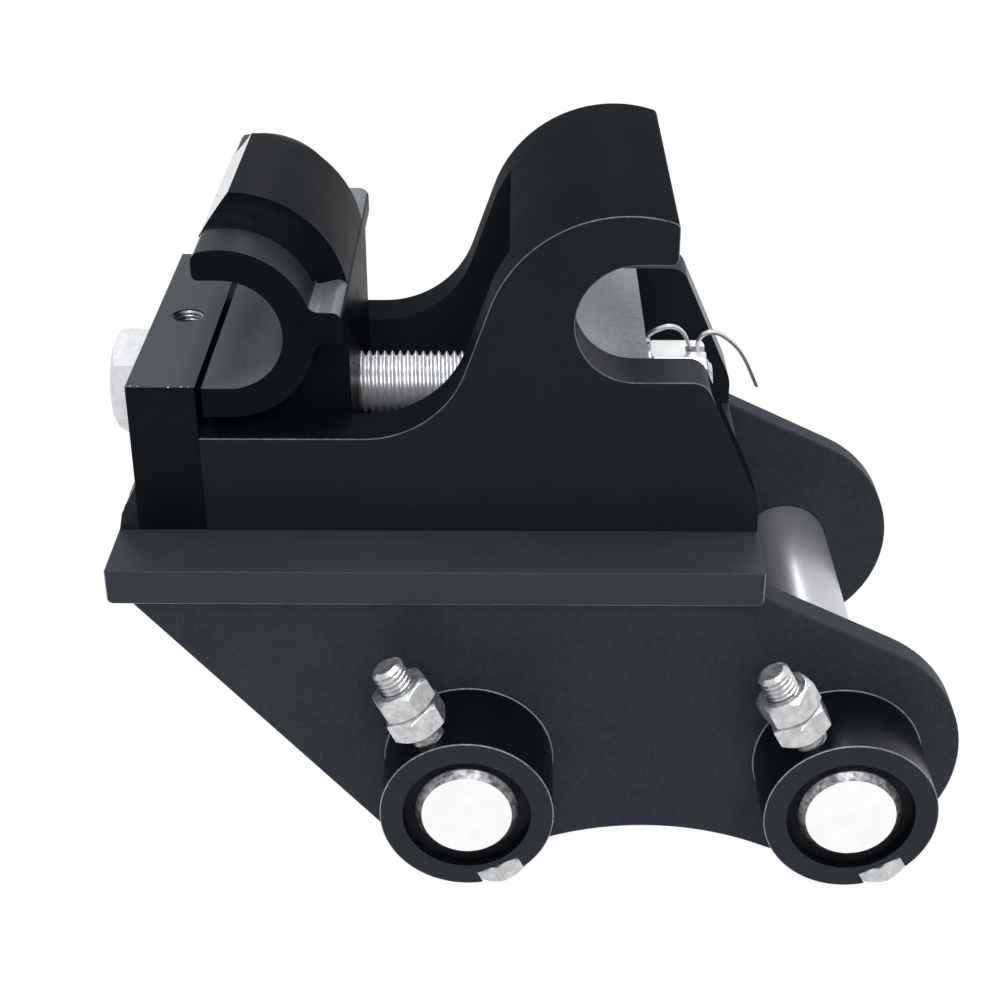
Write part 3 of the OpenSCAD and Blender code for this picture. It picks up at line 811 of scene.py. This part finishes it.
# A lighter copy of the jaw paint for the upper band of its round ends: painted light.
jaw_end_painted_light_enamel = enamel(
    "jaw_end_painted_light_enamel", (0.016, 0.019, 0.026), 0.36, grain=0.4, mottle=0.12, gloss=0.05, cast=0.06)
# A pale paint for the rib's top: a painted highlight.
rib_painted_highlight_enamel = enamel("rib_painted_highlight_enamel", (0.075, 0.083, 0.092), 0.34, grain=0.4, mottle=0.15, gloss=0.5)
jaw = worked("moving_jaw_cast", ["moving_jaw"], "jaw", 0.35, steps=2, sharper_than=28)
coat(jaw, jaw_enamel, jaw_mouth_skin, machined_facet, jaw_end_painted_light_enamel, rib_painted_highlight_enamel)

jaw_axis = Vector((-56.1 * mm, 0, 108.75 * mm))
jaw_mouth_r = 13.6 * mm
jaw_end_r = 21 * mm
facet_way = Vector((-0.788, 0, 0.615))
for face in jaw.data.polygons:
    at, way = face.center, face.normal
    out = Vector((at.x, 0, at.z)) - jaw_axis
    mouth_arc = abs(out.length - jaw_mouth_r) < 0.2 * mm
    mouth_flats = out.x < 0 and abs(abs(out.z) - jaw_mouth_r) < 0.1 * mm and abs(way.z) > 0.9
    end_arc = abs(out.length - jaw_end_r) < 0.3 * mm and out.z > 6 * mm
    rib_top = out.x > 20 * mm and 3 * mm < out.z < 12 * mm and way.z > 0.1
    if abs(way.y) < 0.1 and (mouth_arc or mouth_flats):
        face.material_index = 1
    if way.dot(facet_way) > 0.995 and out.length > 20 * mm:
        face.material_index = 2
    # The upper band of the round ends takes painted light; the rib's top takes a painted highlight.
    if abs(at.y) > 26 * mm and at.y * way.y < 0.1 * mm and end_arc:
        face.material_index = 3
    if abs(at.y) > 22 * mm and abs(way.y) < 0.3 and rib_top:
        face.material_index = 4

# --- Lead screw ---
# M16 x 2 with a 24 mm hexagon forged on its outer end, zinc plated and oiled. The
# thread pulls the jaw along, and the turned tail runs through the hook block.

screw_axis = 77.0 * mm
m16_r = 8.0 * mm
tail_r = 6.0 * mm
stand_screw = Matrix.Translation((0, 0, screw_axis)) @ Matrix.Rotation(math.pi / 2, 4, "Y")
block_x = -80.5 * mm  # the end block's outer face, under the hexagon
screw_low, screw_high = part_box("lead_screw")
shoulder = 9.7 * mm  # where the 16 mm thread ends and the tail starts
lead_screw = turned_piece("lead_screw_cut", [
    ("turned", [(block_x, m16_r), (-63.2 * mm, m16_r)]),
    ("thread", -63.5 * mm, shoulder - 0.9 * mm, m16_r, 1.25 * mm, 2.0 * mm),
    ("turned", [(shoulder - 1.0 * mm, 7.9 * mm), (shoulder, 6.9 * mm)]),
    ("turned", [(shoulder - 0.5 * mm, tail_r), (47.0 * mm, tail_r)]),
    ("thread", 46.0 * mm, screw_high.x - 1.0 * mm, tail_r, 0.9 * mm, 1.75 * mm),
    ("turned", [(screw_high.x - 1.1 * mm, 5.8 * mm), (screw_high.x, 4.8 * mm)]),
], stand_screw, "screw", ["lead_screw"], sides=48)
bm = bmesh.new()
bm.from_mesh(lead_screw.data)
head = (Matrix.Translation((block_x, 0, screw_axis)) @ Matrix.Rotation(-math.pi / 2, 4, "Y")
        @ Matrix.Rotation(math.radians(11), 4, "Z"))
hexagon(bm, 24 * mm, block_x - screw_low.x, head, both_ends=False)
bm.to_mesh(lead_screw.data)
bm.free()
screw_zinc = bare_steel(
    "screw_zinc", (0.64, 0.65, 0.67), 0.33, (120.0, 420.0, 420.0),
    scratch=0.12, blotch=0.07, bumps=0.18, blotch_scale=500.0, metal=0.7)
coat(lead_screw, screw_zinc)

# --- Thrust washer ---
# A plain hardened washer between the hook block and the castle nut, which takes the
# screw's pull.

washer = worked("thrust_washer_eased", ["thrust_washer"], "frame", 0.3)
coat(washer, zinc)

# --- Castle nut ---
# M12, slotted at its outer end for the split pin, plated in bright zinc. It turns with
# the screw.

castle_nut = worked("castle_nut_eased", ["castle_nut"], "screw", 0.25, sharper_than=25)
coat(castle_nut, bare_steel(
    "castle_nut_zinc", (0.70, 0.71, 0.72), 0.3, (300.0, 300.0, 300.0),
    scratch=0.0, blotch=0.05, bumps=0.0, metal=0.7))

# --- Split pin ---
# Half-round spring wire folded on itself: pushed up through the nut's slot and the
# screw, then its two legs bent over at the top, one back over the nut and one down
# past its end.


def half_round(name, centreline, radius, thin_ends=True):
    """Half-round wire along a line in X and Z, its flat side to the left of the way it runs."""
    smooth = 6  # steps between two given places
    line = []
    for i in range(len(centreline) - 1):
        p0 = Vector(centreline[max(i - 1, 0)])
        p1, p2 = Vector(centreline[i]), Vector(centreline[i + 1])
        p3 = Vector(centreline[min(i + 2, len(centreline) - 1)])
        for s in range(smooth):
            t = s / smooth
            line.append(0.5 * ((2 * p1) + (p2 - p0) * t + (2 * p0 - 5 * p1 + 4 * p2 - p3) * t * t
                               + (3 * p1 - p0 - 3 * p2 + p3) * t * t * t))
    line.append(Vector(centreline[-1]))
    arc = [(-math.sin(math.pi * k / 8), -math.cos(math.pi * k / 8)) for k in range(1, 8)]
    section = [(0.0, -1.0)] + arc + [(0.0, 1.0)]
    verts, faces = [], []
    for i, spot in enumerate(line):
        way = (line[min(i + 1, len(line) - 1)] - line[max(i - 1, 0)]).normalized()
        left = Vector((-way.y, way.x))
        size = radius * (0.75 if thin_ends and i in (0, len(line) - 1) else 1.0)
        for across, out in section:
            at = spot + left * (across * size * 0.95 + 0.35 * size)
            verts.append((at.x * mm, out * size * mm, at.y * mm))
    n = len(section)
    for i in range(len(line) - 1):
        for j in range(n):
            k = (j + 1) % n
            faces.append((i * n + j, i * n + k, (i + 1) * n + k, (i + 1) * n + j))
    faces.append(tuple(range(n))[::-1])
    faces.append(tuple((len(line) - 1) * n + j for j in range(n)))
    mesh = bpy.data.meshes.new(name)
    mesh.from_pydata(verts, [], faces)
    bm = bmesh.new()
    bm.from_mesh(mesh)
    bmesh.ops.recalc_face_normals(bm, faces=bm.faces)
    bm.to_mesh(mesh)
    bm.free()
    mesh.shade_smooth()
    mesh.set_sharp_from_angle(angle=math.radians(40))
    piece = bpy.data.objects.new(name, mesh)
    bpy.context.scene.collection.objects.link(piece)
    return piece


split_x, eye_z, eye_r = 57.3, 63.4, 2.3
back_leg = [
    (45.2, 90.1), (45.7, 90.6), (46.6, 91.3), (48.3, 92.1), (50.5, 92.7), (52.8, 92.2), (54.5, 90.6),
    (55.5, 88.6), (56.3, 86.0), (split_x - 0.75, 82.5)]
eye = [(split_x - 0.75, 70.0), (split_x - 0.8, 66.6)]
for degrees in range(130, 411, 28):
    a = math.radians(degrees)
    eye.append((split_x + eye_r * math.cos(a), eye_z + eye_r * math.sin(a)))
eye += [(split_x + 0.8, 66.6), (split_x + 0.75, 70.0)]
outer_leg = [
    (split_x + 0.75, 84.0), (57.9, 86.6), (58.2, 88.7), (59.1, 90.2), (60.6, 91.0), (62.0, 91.1),
    (63.9, 90.5), (66.3, 88.8), (68.6, 86.5), (70.6, 83.4), (72.2, 80.1), (74.0, 76.0)]
split_pin = half_round("split_pin_bent", back_leg + eye + outer_leg, 0.95)
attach(split_pin, "screw")
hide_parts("split_pin")
coat(split_pin, bare_steel(
    "bright_wire", (0.62, 0.62, 0.63), 0.3, (500.0, 500.0, 120.0),
    scratch=0.0, blotch=0.06, bumps=0.0, metal=0.8))

# --- Grub screw ---
# A socket set screw in the end block's top, which presses the drag pad on the thread so
# that the lead screw can't creep.

grub = worked("grub_screw_eased", ["grub_screw"], "frame", 0.2)
grub_zinc = bare_steel(
    "dull_zinc", (0.26, 0.27, 0.29), 0.35, (300.0, 300.0, 300.0),
    blotch=0.25, bumps=0.3, blotch_scale=500.0)
coat(grub, grub_zinc)

hole_at = (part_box("grub_screw")[0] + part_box("grub_screw")[1]) / 2
hole_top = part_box("end_block")[1].z
tapping = turned_piece("tapped_hole_thread", [
    ("thread", hole_top - 3.6 * mm, hole_top - 0.4 * mm, 3.98 * mm, 0.45 * mm, 1.0 * mm),
], Matrix.Translation((hole_at.x, hole_at.y, 0)), "frame", [])
coat(tapping, grub_zinc)

# --- Drag pad ---
# A plug of natural nylon under the grub screw: soft, waxy and a little milky.

drag_pad = worked("drag_pad_eased", ["drag_pad"], "frame", 0.3)
nylon = bpy.data.materials.new("natural_nylon")
tree, add = wired(nylon)
where = add("ShaderNodeTexCoord").outputs["Object"]
milk = add("ShaderNodeTexNoise", {"Vector": where, "Scale": 300.0, "Detail": 3.0})
tone = add("ShaderNodeMix", {"Factor": milk.outputs["Fac"]}, data_type="RGBA")
tone.inputs[6].default_value = (0.70, 0.68, 0.60, 1)
tone.inputs[7].default_value = (0.80, 0.79, 0.73, 1)
skin = add("ShaderNodeBsdfPrincipled", {
    "Base Color": tone.outputs[2], "Roughness": 0.45, "Subsurface Weight": 0.1, "Subsurface Scale": 0.002})
add("ShaderNodeOutputMaterial", {"Surface": skin.outputs[0]})
coat(drag_pad, nylon)

# --- Closing ---
# For each image point, the pixel where the finished pieces show it is found, and the
# view transform is set to Standard.


def shown_points(piece, trees, depsgraph):
    """Pixels and places of a finished piece's vertices that the camera sees, unhidden by others."""
    seen = []
    done = piece.evaluated_get(depsgraph)
    mesh = done.to_mesh()
    for vertex in mesh.vertices:
        at = piece.matrix_world @ vertex.co
        way = at - camera_at
        reach = way.length
        way.normalize()
        short_of_it = reach - 0.4 * mm
        if all(tree_of.ray_cast(camera_at, way, short_of_it)[0] is None for tree_of in trees):
            seen.append((pixel_of(at), at.copy()))
    done.to_mesh_clear()
    return seen


shown_pieces = [
    o for o in bpy.context.scene.objects
    if o.type == "MESH" and o is not floor and not o.hide_render and "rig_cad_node" not in o]
bpy.context.view_layer.update()
depsgraph = bpy.context.evaluated_depsgraph_get()
trees = [BVHTree.FromObject(o, depsgraph) for o in shown_pieces]
views = {o.name: shown_points(o, trees, depsgraph) for o in shown_pieces}
everything = [p for v in views.values() for p in v]


def nearest(name, to):
    """The pixel of a piece that shows nearest to a wanted pixel."""
    return min((p for p, _ in views[name]), key=lambda p: math.hypot(p[0] - to[0], p[1] - to[1]))


def middle(name, keep):
    """The middle of the box round the pixels of a piece whose places pass a test."""
    picked = [p for p, at in views[name] if keep(at)]
    xs, ys = [p[0] for p in picked], [p[1] for p in picked]
    return ((min(xs) + max(xs)) / 2, (min(ys) + max(ys)) / 2)


found = {
    "left_x": (min(p[0] for p, _ in everything), None),
    "right_x": (max(p[0] for p, _ in everything), None),
    "top_y": (None, min(p[1] for p, _ in everything)),
    "bottom_y": (None, max(p[1] for p, _ in everything)),
    "plate_near_left_corner": nearest("base_plate_painted", points["plate_near_left_corner"]),
    "plate_near_right_corner": nearest("base_plate_painted", points["plate_near_right_corner"]),
    "jaw_side_pin_end": middle("jaw_side_arm_pin_ground", lambda at: at.y < -0.080),
    "hook_side_pin_end": middle("hook_side_arm_pin_ground", lambda at: at.y < -0.080),
    "hook_mouth_near_left": nearest("near_cheek_painted", points["hook_mouth_near_left"]),
    "crown_far_right_corner": nearest("far_cheek_painted", points["crown_far_right_corner"]),
    "nose_near_corner": nearest("near_cheek_painted", points["nose_near_corner"]),
    "end_block_near_top_corner": nearest("end_block_painted", points["end_block_near_top_corner"]),
    "grub_screw_hole": pixel_of((hole_at.x, hole_at.y, hole_top)),
    "jaw_top_far_left": nearest("moving_jaw_cast", points["jaw_top_far_left"]),
    "split_pin_tip": nearest("split_pin_bent", points["split_pin_tip"]),
    "jaw_side_stud_tip": middle(
        "jaw_side_cross_bolt_cut",
        lambda at: (stand_on_pin("jaw_side").inverted() @ at).z > (bolt_top - 0.5) * mm),
    "hook_side_stud_tip": middle(
        "hook_side_cross_bolt_cut",
        lambda at: (stand_on_pin("hook_side").inverted() @ at).z > (bolt_top - 0.5) * mm),
}

bpy.context.scene.view_settings.view_transform = "Standard"
